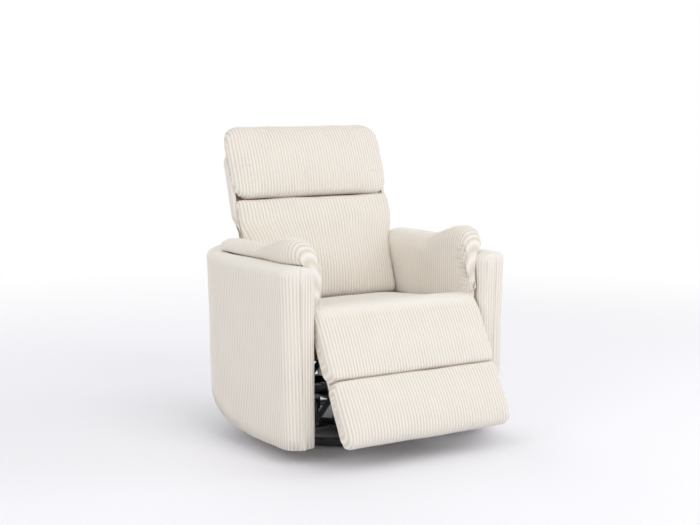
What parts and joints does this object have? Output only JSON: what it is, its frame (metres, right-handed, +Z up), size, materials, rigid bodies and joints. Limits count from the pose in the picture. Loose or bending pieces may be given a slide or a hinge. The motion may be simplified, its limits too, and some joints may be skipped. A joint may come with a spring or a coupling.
{
  "type": "recliner",
  "caption": "Swivel rocker recliner with a barrel-shaped shell, pillow arm pads, a reclining back with headrest and a swing-out footrest on a steel linkage.",
  "frame": {"origin": "on the floor, where the swivel axis meets it", "axes": "+Z up, -Y to the front, +X to the sitter's left"},
  "size_m": [0.8782, 1.0394, 1.0437],
  "materials": {
    "corduroy": "matte",
    "black_enamel": "satin",
    "zinc_steel": "satin",
    "spring_steel": "satin",
    "plywood": "matte",
    "white_nylon": "satin",
    "black_rubber": "matte"
  },
  "bodies": {
    "base": {"base_ring": "black_enamel", "base_spider": "black_enamel", "floor_pads": "black_rubber", "swivel_lower_plate": "black_enamel", "bearing_balls": "zinc_steel", "king_pin": "zinc_steel", "base_bolts": "zinc_steel"},
    "swivel": {"swivel_upper_plate": "black_enamel", "spring_cups_lower": "black_enamel", "rocker_springs": "spring_steel"},
    "chair": {"outer_shell": "corduroy", "arm_pad_left": "corduroy", "arm_pad_right": "corduroy", "rocker_plate": "black_enamel", "rocker_axle": "zinc_steel", "spring_cups_upper": "black_enamel", "front_cross_tube": "black_enamel", "rear_cross_tube": "black_enamel", "shell_brackets": "black_enamel", "frame_bolts": "zinc_steel", "slide_rail_left": "black_enamel", "slide_rail_right": "black_enamel"},
    "seat": {"seat_cushion": "corduroy", "seat_front_rail": "corduroy", "seat_rear_rail": "plywood", "seat_rail_left": "plywood", "seat_rail_right": "plywood", "seat_springs": "spring_steel", "seat_glides": "white_nylon", "mechanism_plate_left": "black_enamel", "mechanism_plate_right": "black_enamel", "arm_pivot_pins": "zinc_steel", "back_pivot_pins": "zinc_steel"},
    "back": {"lumbar_cushion": "corduroy", "headrest_cushion": "corduroy", "back_panel": "corduroy", "back_bottom_rail": "plywood", "back_top_rail": "plywood", "back_post_left": "plywood", "back_post_right": "plywood", "back_bracket_left": "black_enamel", "back_bracket_right": "black_enamel"},
    "footrest": {"footrest_board": "plywood", "footrest_upper_pad": "corduroy", "footrest_lower_pad": "corduroy", "footrest_brackets": "black_enamel", "footrest_pins": "zinc_steel"},
    "front_arms": {"front_arm_left": "black_enamel", "front_arm_right": "black_enamel", "torque_tube": "black_enamel", "front_arm_pins": "zinc_steel"},
    "rear_arms": {"rear_arm_left": "black_enamel", "rear_arm_right": "black_enamel", "rear_arm_pins": "zinc_steel"},
    "upper_links": {"upper_link_left": "black_enamel", "upper_link_right": "black_enamel"},
    "lower_links": {"lower_link_left": "black_enamel", "lower_link_right": "black_enamel"}
  },
  "joints": [
    {"name": "swivel_turn", "type": "hinge", "parent": "base", "child": "swivel", "pos_m": [0, 0, 0], "axis": [0, 0, 1], "continuous": true},
    {"name": "rock", "type": "hinge", "parent": "swivel", "child": "chair", "pos_m": [0, 0, 0.092], "axis": [-1, 0, 0], "range_deg": [-3, 9], "stiffness_Nm_per_rad": 900, "deforming": ["rocker_springs"]},
    {"name": "seat_slide", "type": "slide", "parent": "chair", "child": "seat", "axis": [0, -1, 0], "range_m": [0, 0.0733]},
    {"name": "recline", "type": "hinge", "parent": "seat", "child": "back", "pos_m": [0, 0.1, 0.414], "axis": [-1, 0, 0], "range_deg": [0, 28.1]},
    {"name": "footrest_swing", "type": "hinge", "parent": "seat", "child": "footrest", "pos_m": [0, -0.338, 0.455], "axis": [-1, 0, 0], "range_deg": [-28, 60]},
    {"name": "front_arm_swing", "type": "hinge", "parent": "seat", "child": "front_arms", "pos_m": [0, -0.22133, 0.33833], "axis": [-1, 0, 0], "range_deg": [-28.1, 60.1]},
    {"name": "rear_arm_swing", "type": "hinge", "parent": "seat", "child": "rear_arms", "pos_m": [0, -0.15415, 0.27115], "axis": [-1, 0, 0], "range_deg": [-28.1, 60.1]},
    {"name": "upper_link_fold", "type": "hinge", "parent": "front_arms", "child": "upper_links", "pos_m": [0, -0.21323, 0.2151], "axis": [-1, 0, 0], "range_deg": [-60.1, 28.1]},
    {"name": "lower_link_fold", "type": "hinge", "parent": "front_arms", "child": "lower_links", "pos_m": [0, -0.27426, 0.10032], "axis": [-1, 0, 0], "range_deg": [-60.1, 28.1]}
  ],
  "couplings": [
    {"joint": "recline", "follows": "seat_slide", "rad_per_m": 6.6667},
    {"joint": "front_arm_swing", "follows": "footrest_swing", "ratio": 1},
    {"joint": "rear_arm_swing", "follows": "footrest_swing", "ratio": 1},
    {"joint": "upper_link_fold", "follows": "footrest_swing", "ratio": -1},
    {"joint": "lower_link_fold", "follows": "footrest_swing", "ratio": -1}
  ]
}
